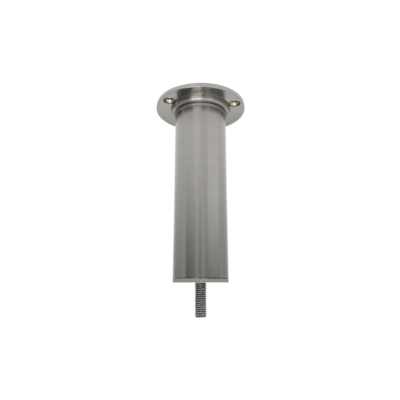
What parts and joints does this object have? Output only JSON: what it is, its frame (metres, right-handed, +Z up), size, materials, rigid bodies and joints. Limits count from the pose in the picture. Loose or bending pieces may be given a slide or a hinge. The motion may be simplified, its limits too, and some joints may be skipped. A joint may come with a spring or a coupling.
{
  "type": "countertop support leg",
  "caption": "Round brushed metal leg with a flat screw-on flange at the top and a threaded stud at the base, to carry a raised countertop.",
  "frame": {"origin": "centre of the bottom plug's lower face, where the leg's base bears on what it stands on", "axes": "+Z up along the leg to the countertop; +Y towards one of the flange's screw holes"},
  "size_m": [0.0786, 0.0786, 0.1793],
  "materials": {
    "satin_nickel": "satin nickel, brushed round the leg",
    "stud_steel": "dull grey plated thread"
  },
  "bodies": {
    "root": {"flange": "satin_nickel", "top_plug": "satin_nickel", "tube": "satin_nickel", "bottom_plug": "satin_nickel", "base_stud": "stud_steel", "top_stud": "stud_steel"}
  },
  "joints": []
}
